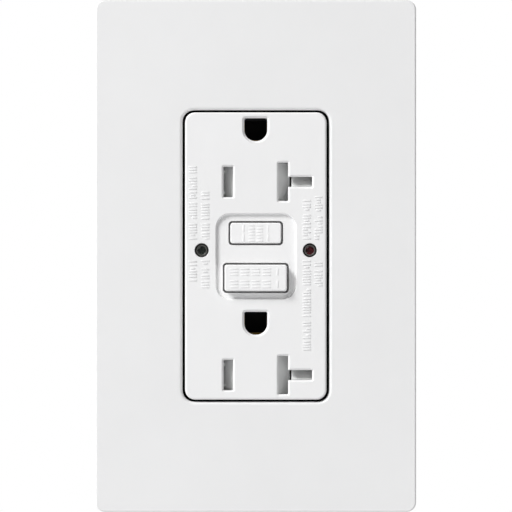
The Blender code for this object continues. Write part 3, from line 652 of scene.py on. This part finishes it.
# Drawn music wire, closed and ground at its ends.
spring_steel = metal("drawn_spring_steel", "B2B5BA", "8C9096", 0.26, 0.25, 0.20)
for end in ("upper", "lower"):
    name = f"{end}_shutter_spring"
    first, last = span(name)
    spring = coil_spring(f"{end}_gate_spring", middle(name), 0.8, 0.15, first.x, last.x, 8, name, "X")
    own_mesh(spring)

for end in ("upper", "lower"):
    for wire, side in (("hot", -1), ("neutral", 1)):
        first, last = span(f"{end}_{wire}_shutter")
        outer, inner = (first.x, last.x) if side < 0 else (last.x, first.x)
        gate = wedge([
            (outer, RAMP_FOOT), (outer, last.y), (inner, last.y),
            (inner, first.y), (inner + side * 0.6, first.y),
        ], first.z, last.z, 0.1)
        if wire == "hot":
            tabs = [block(*sorted((outer, outer + 0.75)), -4.6, -3.2, z - 0.35, z + 0.35, 0.1)
                    for z in (first.z + 1.6, last.z - 1.6)]
            gate = carve(gate, tabs, "UNION")
        name = f"{end}_{wire}_shutter"
        finish_piece(f"{end}_{wire}_gate", gate, shutter_plastic, name, [name])
    name = f"{end}_cross_shutter"
    first, last = span(name)
    low_z, high_z = first.z, last.z
    gate = wedge([
        (low_z, first.y), (low_z + 0.45, first.y), (high_z, RAMP_FOOT), (high_z, last.y), (low_z, last.y),
    ], first.x, last.x, 0.1)
    for vert in gate.verts:
        vert.co = (vert.co.z, vert.co.y, vert.co.x)
    bmesh.ops.recalc_face_normals(gate, faces=gate.faces)
    finish_piece(f"{end}_cross_gate", gate, shutter_plastic, name, [name])

# ---------------------------------------------------------------- adapter plate and its screws
# A flat white frame under the cover, screwed to the strap; the cover presses over its edge.
# It is moulded with a turned-down rim, notches for the cover's ribs and stiffening ribs behind.

adapter_plastic = moulded_plastic("plain_white_abs", "E4E4E0", "DCDCD8", 0.55, 0.4, 0.15)
PLATE_SCREW_Z = 48.4
BOX_SCREW_Z = 41.67

# Zinc on mild steel, passivated clear: a cool grey with faint cloudy spangle.
zinc_steel = metal("clear_zinc_plated_steel", "C4C7CB", "A2A6AC", 0.34, 0.35, 0.25)
# Rolled brass strip, lightly tarnished: a warm yellow with browner patches.
brass = metal("rolled_brass_strip", "D3AE62", "B08A45", 0.30, 0.3, 0.20)
# Nickel over brass: a brighter, slightly warm silver.
nickel = metal("nickel_plated_brass", "CFCAC0", "B4AFA5", 0.26, 0.3, 0.18)

first, last = span("adapter_plate")
wide, tall = last.x - first.x, last.z - first.z
adapter = stack(wide, tall, 1.5, [(last.y, -0.15), (last.y - 0.15, 0), (first.y + 0.3, 0), (first.y, -0.3)])
adapter = carve(adapter, [stack(wide - 3, tall - 3, 1.5, [(1, 0.2), (-1.3, 0), (-1.6, -0.3)])])
ribs = []
for end in (-1, 1):
    ribs.append(turned([(5.2, -1.7), (5.2, -1.35)], 0, end * BOX_SCREW_Z, 48))
    for place in (-28.5, -9.5, 9.5, 28.5):
        x0, x1 = sorted((end * 21.8, end * (wide / 2 - 1.2)))
        ribs.append(block(x0, x1, -1.7, -0.6, place - 0.4, place + 0.4, 0.1))
    for place in (-27, -16, 16, 27):
        z0, z1 = sorted((end * 38.5, end * (tall / 2 - 1.2)))
        ribs.append(block(place - 0.4, place + 0.4, -1.7, -1.35, z0, z1, 0.1))
adapter = carve(adapter, ribs, "UNION")
cuts = [stack(36.0, 70.0, 3.4, [(1, 0), (first.y + 0.4, 0), (first.y - 0.2, 0.5)])]
for side in (-1, 1):
    cuts.append(turned([(4.0, 1), (4.0, first.y + 0.25), (4.4, first.y - 0.2)], 0, side * BOX_SCREW_Z))
    cuts.append(turned([(1.9, 1), (1.9, -1.65), (4.3, first.y - 0.5)], 0, side * PLATE_SCREW_Z))
    for place in SIDE_RIBS:
        cuts.append(block(*sorted((side * (wide / 2 - 0.6), side * 40)), -5, 1, place - 4.3, place + 4.3))
    for place in END_RIBS:
        cuts.append(block(place - 4.3, place + 4.3, -5, 1, *sorted((side * (tall / 2 - 0.6), side * 62))))
adapter = carve(adapter, cuts)
finish_piece("adapter_frame", adapter, adapter_plastic, "device", ["adapter_plate"])


def thread(radius, start, end, pitch=0.8, depth=0.22):
    """Crests and roots of a screw thread along Y, as (radius, y) points."""
    points, way = [], 1 if end > start else -1
    for turn_count in range(int(abs(end - start) / pitch)):
        y = start + way * turn_count * pitch
        points += [(radius - depth, y), (radius, y + way * pitch * 0.45), (radius, y + way * pitch * 0.6)]
    return points + [(radius - depth, end - way * 0.3), (radius - 2.5 * depth, end)]


def cross_recess(reach, width, y, depth, x=0.0, z=0.0):
    """Two crossed tapering slots, as a driver leaves room for."""
    taper = -width * 0.3
    across = [(y - 0.5, 0.15), (y, 0), (y + depth, taper)]
    upright = [(y - 0.6, 0.16), (y, 0), (y + depth - 0.04, taper)]
    return [
        stack(2 * reach, width, width * 0.45, across, x, z, steps=2),
        stack(width, 2 * reach, width * 0.45, upright, x, z, steps=2),
    ]


for end, side in (("upper", 1), ("lower", -1)):
    z = side * PLATE_SCREW_Z
    name = f"adapter_screw_{end}"
    first, last = span(name)
    shape = turned([(2.0, first.y), (2.9, first.y + 0.12), (3.1, first.y + 0.3), (1.4, first.y + 1.75)]
                   + thread(1.4, first.y + 2.0, last.y), 0, z)
    shape = carve(shape, cross_recess(1.7, 0.7, first.y, 1.0, 0, z))
    finish_piece(f"countersunk_screw_{end}", shape, zinc_steel, "device", [name])
    z = side * BOX_SCREW_Z
    name = f"box_screw_{end}"
    first, last = span(name)
    shape = turned([(1.8, first.y), (2.6, first.y + 0.15), (3.1, first.y + 0.55), (3.3, first.y + 1.1),
                    (3.3, -1.6), (1.7, -1.6)] + thread(1.75, -1.4, last.y), 0, z)
    shape = carve(shape, [block(-4, 4, first.y - 1, first.y + 0.7, z - 0.45, z + 0.45)]
                  + cross_recess(1.9, 0.7, first.y, 1.1, 0, z))
    finish_piece(f"mounting_screw_{end}", shape, zinc_steel, "device", [name])

# ---------------------------------------------------------------- mounting strap and ground path
# The yoke that carries the device: blanked and bent zinc-plated steel, with slotted ears for the box.
# Its tab takes the green ground screw, and two brass forks behind it grip the ground pins.

STRAP = 1.3
EAR_X, EAR_Z = 16.5, 47.5
GROUND_SCREW = (-13.6, 5.5, -41)


def sheet(width, height, corner, rear, ahead, x, z, steps=6):
    """A flat blank with rolled edges."""
    ease = 0.15
    return stack(width, height, corner, [(rear, -ease), (rear - ease, 0), (ahead + ease, 0), (ahead, -ease)],
                 x, z, steps=steps)


strap = carve(sheet(19, 21.1, 1.0, 0, -STRAP, 0, 0.25), [stack(10.4, 18.5, 1.0, [(3, 0), (-3, 0)], 0, 0.25)])
joined, cuts = [], []
for z in (30.6, -30.1):
    joined.append(sheet(7.2, 41, 0.3, -0.01, 0.01 - STRAP, 0, z))
for ground_z in ground_places.values():
    joined.append(turned([(4.85, -0.02), (5.0, -0.17), (5.0, -1.13), (4.85, -1.28)], 0, ground_z + 0.3))
    cuts.append(turned([(3.3, 3), (3.3, -3)], 0, ground_z + 0.3, 37))
for end in (-1, 1):
    joined.append(sheet(18, 4.3, 0.4, -0.03, 0.03 - STRAP, 0, end * 34.85))
    joined.append(sheet(26, 17.4, 3.0, 0, -STRAP, 0, end * 44.6))
    cuts.append(stack(6.6, 4.2, 2.09, [(3, 0), (-3, 0)], 0, end * BOX_SCREW_Z))
    cuts.append(turned([(1.75, 3), (1.75, -3)], 0, end * PLATE_SCREW_Z))
    for side in (-1, 1):
        joined.append(turned(
            [(5.35, -0.02), (5.5, -0.17), (5.5, -1.13), (5.35, -1.28)], side * EAR_X, end * EAR_Z,
        ))
        cuts.append(turned([(2.0, 3), (2.0, -3)], side * EAR_X, end * EAR_Z, 37))
        cuts.append(stack(0.7, 2.6, 0.3, [(3, 0), (-3, 0)], side * 11.6, end * 51.3, steps=2))
joined.append(block(-14.3, -12.9, 0.04 - STRAP, 10, -46, -36.2, 0.15))
tab_hole = turn(turned([(2.2, -3), (2.2, 3)], 0, 0), "Z", 90)
bmesh.ops.translate(tab_hole, verts=tab_hole.verts, vec=GROUND_SCREW)
strap = carve(carve(strap, joined, "UNION"), cuts + [tab_hole])
finish_piece("steel_yoke", strap, zinc_steel, "device", ["mounting_strap"])

# Zinc plate dyed green, the usual sign of a ground screw.
green_zinc = metal("green_dyed_zinc", "2F8F4C", "1F6E38", 0.32, 0.3, 0.20, 0.85)
hexagon = turned([(3.9, -3.0), (3.9, 0)], 0, 0, 6)
dome = turned([(2.6, -3.05), (3.3, -2.9), (3.75, -2.55), (4.2, -2.0), (4.2, -0.3), (3.8, 0.05)], 0, 0)
head = carve(hexagon, [dome], "INTERSECT")
head = carve(head, [turned([(1.85, -0.2)] + thread(1.85, 0.2, 5.2), 0, 0)], "UNION")
head = turn(carve(head, [block(-4.2, 4.2, -4, -2.0, -0.45, 0.45)]), "Z", -90)
bmesh.ops.translate(head, verts=head.verts, vec=(GROUND_SCREW[0] - 1.0, *GROUND_SCREW[1:]))
finish_piece("green_ground_screw", head, green_zinc, "ground_screw", ["ground_screw"])

for end, ground_z in ground_places.items():
    low_z, high_z = ground_z - 2.8, ground_z + 1.9
    fork = block(-3.1, 3.1, 0.3, 7.6, low_z, low_z + 0.5, 0.1)
    leaves = [block(-3.0, 3.0, 0.33, 0.9, low_z - 3.2, low_z + 0.3, 0.1)]
    for side in (-1, 1):
        leaves.append(block(*sorted((side * 2.6, side * 3.07)), 0.36, 7.57, low_z + 0.05, high_z, 0.1))
    fork = carve(fork, leaves, "UNION")
    fork = carve(fork, [turned([(0.9, 0), (0.9, 1.2)], 0, low_z - 1.7)])
    finish_piece(f"{end}_ground_fork", fork, brass, "device", [f"{end}_ground_contact"])

# A thin black ring on the base, just behind the gap round the face: painted shade, a dark sheet put there so
# that the gap reads dark.
gap_shade_black = moulded_plastic("black_painted_gap_shade", "17181A", "0E0F10", 0.85, 0.25, 0.6)
gap_shade_ring = stack(BODY[0] - 0.4, BODY[1] - 0.4, BODY[2], [(-1.04, 0), (-1.56, 0)])
gap_shade_ring = carve(gap_shade_ring, [
    stack(FACE[0] + 0.3, FACE[1] + 0.3, FACE[2] + 0.15, [(1, 0), (-3, 0)]),
    block(-9.6, 9.6, -1.38, 0, 31, 36), block(-9.6, 9.6, -1.38, 0, -36, -31),
])
finish_piece("painted_gap_shade", gap_shade_ring, gap_shade_black, "device")

# ---------------------------------------------------------------- rear housing
# The dark tub that holds the mechanism: glass-filled nylon, with a window at each terminal screw,
# wire holes with funnel mouths at the back, and four deep screw wells.

housing_plastic = moulded_plastic("black_glass_filled_nylon", "26282A", "1A1C1E", 0.55, 0.3, 0.35)
TERMINAL_Y, TERMINAL_Z, WIRE_STEP = 16, 18.0, 3.1
first, last = span("rear_housing")
rear = last.y
tub = stack(*BODY, [(first.y, 0)] + [(y, -g) for y, g in quarter(rear - 1.0, 1.0, 1.0)])
tub = carve(tub, [stack(BODY[0] - 3, BODY[1] - 3, 1.5, [(5, 0), (rear - 1.5, 0)])])
joined, cuts = [], []
for side in (-1, 1):
    joined.append(block(*sorted((side * 17.6, side * 19.8)), 11.4, 26.1, -4, 4, 0.1))
    for place in (-9.6, -7.2, 7.2, 9.6):
        joined.append(block(*sorted((side * 20.9, side * 21.4)), 8.0, 25.5, place - 0.35, place + 0.35, 0.1))
    for end in (-1, 1):
        x, z = side * SCREW_X, end * SCREW_Z
        joined.append(turned([(3.1, 7.1), (3.1, 26.2)], x, z))
        cuts.append(turned([(1.5, 5), (1.5, 28)], x, z, 37))
        cuts.append(turned([(2.7, 25.4), (2.7, 27.2), (3.0, 27.7)], x, z, 43))
        z = end * TERMINAL_Z
        mouth = stack(8.8, 8.8, 0.8, [(22, 0.6), (21.0, 0.35), (20.7, 0), (18, 0)])
        turn(mouth, "Z", -90 * side)
        bmesh.ops.translate(mouth, verts=mouth.verts, vec=(0, TERMINAL_Y, z))
        cuts.append(mouth)
        for step in (-WIRE_STEP, WIRE_STEP):
            cuts.append(turned([(1.4, 25), (1.4, 27.0), (1.9, 27.7)], side * 16.45, z + step))
cuts.append(stack(22, 30, 1.0, [(26.9, 0), (rear + 0.5, 0.3)]))
cuts += [stack(1.0, 7.0, 0.45, [(rear - 2, 0), (rear + 1, 0)], x, z, steps=4)
         for x in (-4.5, -1.5, 1.5, 4.5) for z in (-24.5, 24.5)]
tub = carve(carve(tub, joined, "UNION"), cuts)
raised = [sheet(9.0, 5.0, 0.6, 27.3, 26.85, x, 8.5) for x in (-5.5, 5.5)]
raised += [block(-9.5, 9.5, 26.85, 27.2, z, z + 0.5, 0.12) for z in (-11.5, -9.0, -6.5, -4.0, -1.5, 1.0)]
tub = carve(tub, raised, "UNION")
finish_piece("housing_tub", tub, housing_plastic, "device", ["rear_housing"])

for end, up in (("upper", 1), ("lower", -1)):
    for hand, side in (("left", -1), ("right", 1)):
        name = f"housing_screw_{end}_{hand}"
        first, last = span(name)
        x, z = side * SCREW_X, up * SCREW_Z
        shape = turned([(2.2, last.y), (2.4, last.y - 0.25), (2.4, 25.7), (1.2, 25.7)]
                       + thread(1.2, 25.5, first.y, 0.9, 0.2), x, z, 32)
        recess = [block(x - half_x, x + half_x, 26.4, 28, z - half_z, z + half_z)
                  for half_x, half_z in ((1.3, 0.3), (0.3, 1.3))]
        shape = carve(shape, recess)
        finish_piece(f"assembly_screw_{end}_{hand}", shape, zinc_steel, "device", [name])

# ---------------------------------------------------------------- terminal screws and clamps
# Eight-thirty-two binding screws with wide slotted heads, brass on the hot side and nickel on the neutral.
# Each draws its ribbed steel clamp up against the wires behind the terminal plate.

for wire, side, finish, slot in (("hot", -1, brass, "brass"), ("neutral", 1, nickel, "nickel")):
    for feed, up in (("load", 1), ("line", -1)):
        name = f"{wire}_{feed}_screw"
        first, last = span(name)
        tip = (last.x if side < 0 else first.x) * side
        face_x = (first.x if side < 0 else last.x) * side
        head = [(3.0, -face_x), (3.55, -face_x + 0.2), (3.7, -face_x + 0.7), (3.7, -18.2), (1.8, -18.2)]
        shape = turned(head + thread(1.85, -18.0, -tip, 0.79375, 0.25), 0, 0)
        slots = [block(-4, 4, -24, -face_x + 0.8, -0.45, 0.45)] + cross_recess(2.1, 0.8, -face_x, 1.2)
        shape = carve(shape, slots)
        turn(shape, "Z", 90 * side)
        bmesh.ops.translate(shape, verts=shape.verts, vec=(0, TERMINAL_Y, up * TERMINAL_Z))
        finish_piece(f"{wire}_{feed}_binding_screw", shape, finish, name, [name])
        name = f"{wire}_{feed}_clamp"
        first, last = span(name)
        plate = block(*[v for pair in zip(first, last) for v in pair], 0.2)
        hole = turn(turned([(2.2, -20), (2.2, 20)], 0, 0), "Z", 90)
        bmesh.ops.translate(hole, verts=hole.verts, vec=(0, TERMINAL_Y, up * TERMINAL_Z))
        across = sorted((side * 15.62, side * 16))
        grooves = [block(*across, 12, 20, z - 0.2, z + 0.2)
                   for z in (up * TERMINAL_Z + step for step in (-3.1, -2.5, 2.5, 3.1))]
        plate = carve(plate, [hole] + grooves)
        finish_piece(f"{wire}_{feed}_pressure_plate", plate, zinc_steel, name, [name])

# ---------------------------------------------------------------- middle housing and contacts
# A black tray keeps the mains strips apart from the yoke; brass carries hot, nickel-plated brass neutral.
# The strips, arms and line plates are stamped and folded from 0.5 and 0.8 mm strip.


def dress(node, material):
    """Gives a carried-over CAD node its material."""
    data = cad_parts[node].data
    data.materials.clear()
    data.materials.append(material)
    for polygon in data.polygons:
        polygon.material_index = 0


dress("middle_housing", housing_plastic)
for node in ("hot_contact_strip", "hot_line_terminal", "hot_contact_arm", "test_contact_arm"):
    dress(node, brass)
for node in ("neutral_contact_strip", "neutral_line_terminal", "neutral_contact_arm"):
    dress(node, nickel)

# ---------------------------------------------------------------- trip mechanism
# Pressing the reset button drives a steel shaft through the latch plate; the carriage then lifts the arms.
# A solenoid pulls the plunger down on the latch to let go; its coil is wound on a nylon bobbin.

bobbin_nylon = moulded_plastic("natural_nylon", "D8CFB0", "C6BB98", 0.48, 0.4, 0.20)
dress("contact_carriage", bobbin_nylon)
dress("latch_plate", zinc_steel)
dress("solenoid_frame", zinc_steel)


# A wave texture at scale 1 draws about this many bands in one unit.
BANDS_PER_SCALE = 3.2


def enamelled_copper(name, pitch, axis):
    """Varnished copper wire, amber varnish over copper, with bands one wire wide round the winding: a darker
    and a lighter tone in turn, painted shade between the turns and a painted highlight on each.
    """
    made, tree = new_material(name)
    place = add(tree, "ShaderNodeTexCoord").outputs["Object"]
    bands = add(tree, "ShaderNodeTexWave", {
        "Vector": place, "Scale": 1 / (pitch * MM) / BANDS_PER_SCALE, "Distortion": 0.4, "Detail": 1.0,
    }, bands_direction=axis)
    shader = add(tree, "ShaderNodeBsdfPrincipled", {
        "Base Color": two_tones(tree, bands.outputs["Fac"], "6E2C12", "C4652F"),
        "Metallic": 0.9,
        "Roughness": 0.3,
        "Normal": add(tree, "ShaderNodeBump", {
            "Height": bands.outputs["Fac"], "Strength": 0.6, "Distance": 0.08 * MM,
        }).outputs["Normal"],
    })
    add(tree, "ShaderNodeOutputMaterial", {"Surface": shader.outputs["BSDF"]})
    return made


copper = enamelled_copper("enamelled_copper_wire", 0.25, "Z")

first, last = span("reset_shaft")
pin = turned([
    (1.1, first.y), (1.2, first.y + 0.1), (1.2, 11.3), (0.8, 11.4), (0.8, 12.1), (1.2, 12.2), (1.2, 12.6),
    (0.95, 12.9), (0.7, last.y),
], reset_place.x, reset_place.z)
finish_piece("reset_pin", pin, spring_steel, "reset_button", ["reset_shaft"])

first, last = span("plunger")
core = turned([(1.6, -last.z), (1.75, -last.z + 0.15), (1.75, -3.0), (1.6, -2.9), (1.6, -2.4), (1.75, -2.3),
               (1.75, -first.z - 0.2), (1.5, -first.z)], 0, 0)
turn(core, "X", -90)
bmesh.ops.translate(core, verts=core.verts, vec=(0, (first.y + last.y) / 2, 0))
finish_piece("trip_plunger", core, spring_steel, "plunger", ["plunger"])

# The reel's flanges, then the winding laid in rows of wire between them.
first, last = span("solenoid_bobbin")
axis_y = (first.y + last.y) / 2
reel = turned([
    (5.2, 2.0), (5.3, 2.1), (5.3, 3.1), (5.2, 3.2), (3.0, 3.2),
    (3.0, 15.8), (5.2, 15.8), (5.3, 15.9), (5.3, 16.9), (5.2, 17.0),
], 0, 0)
reel = carve(reel, [turned([(2.1, 1), (2.1, 18)], 0, 0)])
turn(reel, "X", 90)
bmesh.ops.translate(reel, verts=reel.verts, vec=(0, axis_y, 0))
finish_piece("coil_reel", reel, bobbin_nylon, "device", ["solenoid_bobbin"])


def winding(inner, outer, start, end, pitch):
    """A layered winding: a ring whose outer face is ridged once for every wire."""
    profile = [(inner, start)]
    count = round((end - start) / pitch)
    for wire in range(count):
        y = start + wire * pitch
        profile += [(outer - 0.1, y + 0.02), (outer, y + pitch * 0.3), (outer, y + pitch * 0.7)]
    profile += [(outer - 0.1, end - 0.02), (inner, end)]
    shape = bmesh.new()
    corners = [shape.verts.new((radius, y, 0)) for radius, y in profile]
    edges = [shape.edges.new(pair) for pair in zip(corners, corners[1:] + corners[:1])]
    bmesh.ops.spin(shape, geom=corners + edges, cent=(0, 0, 0), axis=(0, 1, 0), angle=math.radians(360),
                   steps=40, use_merge=True)
    bmesh.ops.remove_doubles(shape, verts=shape.verts, dist=0.0005)
    bmesh.ops.recalc_face_normals(shape, faces=shape.faces)
    return shape


coil = turn(winding(3.3, 5.0, 3.5, 15.5, 0.4), "X", 90)
bmesh.ops.translate(coil, verts=coil.verts, vec=(0, axis_y, 0))
finish_piece("trip_coil", coil, copper, "device", ["solenoid_coil"])

# The reset spring stands on the tray and pushes the button's hub forwards.
first, last = span("reset_spring")
spring = coil_spring("reset_return_spring", reset_place, 2.2, 0.27, first.y, last.y, 8, "reset_spring")
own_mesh(spring)

# ---------------------------------------------------------------- board, sensor and lamps
# A glass-epoxy board at the back carries the sensing coils in their nylon cup, the blue surge varistor,
# the yellow film capacitor and the two lamps; every part is soldered by its leads.


def solder_mask(name):
    """Glass-epoxy board: green mask, darker over bare laminate and paler along the copper tracks."""
    made, tree = new_material(name)
    place = add(tree, "ShaderNodeTexCoord").outputs["Object"]
    tracks = add(tree, "ShaderNodeTexVoronoi", {"Vector": place, "Scale": 1 / (3.5 * MM)},
                 distance="MANHATTAN", feature="F1")
    weave = add(tree, "ShaderNodeTexNoise", {"Vector": place, "Scale": 1 / (0.4 * MM), "Detail": 2.0})
    shader = add(tree, "ShaderNodeBsdfPrincipled", {
        "Base Color": two_tones(tree, tracks.outputs["Distance"], "0D3B1E", "1F6B38"),
        "Roughness": 0.4,
        "Coat Weight": 0.4,
        "Normal": add(tree, "ShaderNodeBump", {
            "Height": weave.outputs["Fac"], "Strength": 0.2, "Distance": 0.03 * MM,
        }).outputs["Normal"],
    })
    add(tree, "ShaderNodeOutputMaterial", {"Surface": shader.outputs["BSDF"]})
    return made


dress("circuit_board", solder_mask("green_solder_mask"))
dress("sensor_boat", bobbin_nylon)
toroid_copper = enamelled_copper("sensing_coil_wire", 0.3, "DIAGONAL")
for place in ("front", "rear"):
    node = f"sensor_coil_{place}"
    first, last = span(node)
    centre = (first + last) / 2
    ring = winding(2.6, 5.0, first.y + 0.3, last.y - 0.3, 0.9)
    bmesh.ops.smooth_vert(
        ring, verts=ring.verts, factor=0.3, use_axis_x=True, use_axis_y=True, use_axis_z=True,
    )
    bmesh.ops.translate(ring, verts=ring.verts, vec=(centre.x, 0, centre.z))
    finish_piece(f"{place}_sensing_coil", ring, toroid_copper, "device", [node], 60)

varistor_blue = moulded_plastic("dipped_blue_epoxy", "2B3F8C", "22346F", 0.30, 0.6, 0.25)
first, last = span("surge_varistor")
disc_x, disc_y = 7.5, 17.6
disc = turned([
    (4.4, -27.0), (4.85, -26.8), (5.0, -26.3), (5.0, -24.7), (4.85, -24.2), (4.4, -24.0),
], 0, 0, 48)
turn(disc, "X", -90)
bmesh.ops.translate(disc, verts=disc.verts, vec=(disc_x, disc_y, 0))
leads = [turned([(0.4, 21.0), (0.4, last.y)], x, 25.5, 12) for x in (5.0, 10.0)]
disc = carve(disc, leads, "UNION")
finish_piece("surge_disc", disc, varistor_blue, "device", ["surge_varistor"])

film_yellow = moulded_plastic("yellow_polyester_case", "D9A62B", "C8941F", 0.35, 0.5, 0.15)
first, last = span("filter_capacitor")
case = block(first.x, last.x, first.y, last.y - 0.6, first.z, last.z, 0.5)
feet = [block(x, x + 0.8, last.y - 1.2, last.y, first.z + 1, last.z - 1, 0.1)
        for x in (first.x + 0.8, last.x - 1.6)]
case = carve(case, feet, "UNION")
finish_piece("film_capacitor", case, film_yellow, "device", ["filter_capacitor"])

lamp_glass = moulded_plastic("clear_epoxy_lamp", "D8DCD2", "C6CAC0", 0.12, 0.8, 0.05)
for name, place in lamp_places.items():
    node = f"{name}_led"
    first, last = span(node)
    lamp = turned([
        (0.5, first.y), (0.95, first.y + 0.12), (1.3, first.y + 0.5), (1.5, first.y + 1.2), (1.5, 22.3),
        (1.8, 22.4), (1.8, last.y),
    ], place.x, place.z)
    finish_piece(f"{name}_lamp", lamp, lamp_glass, "device", [node])
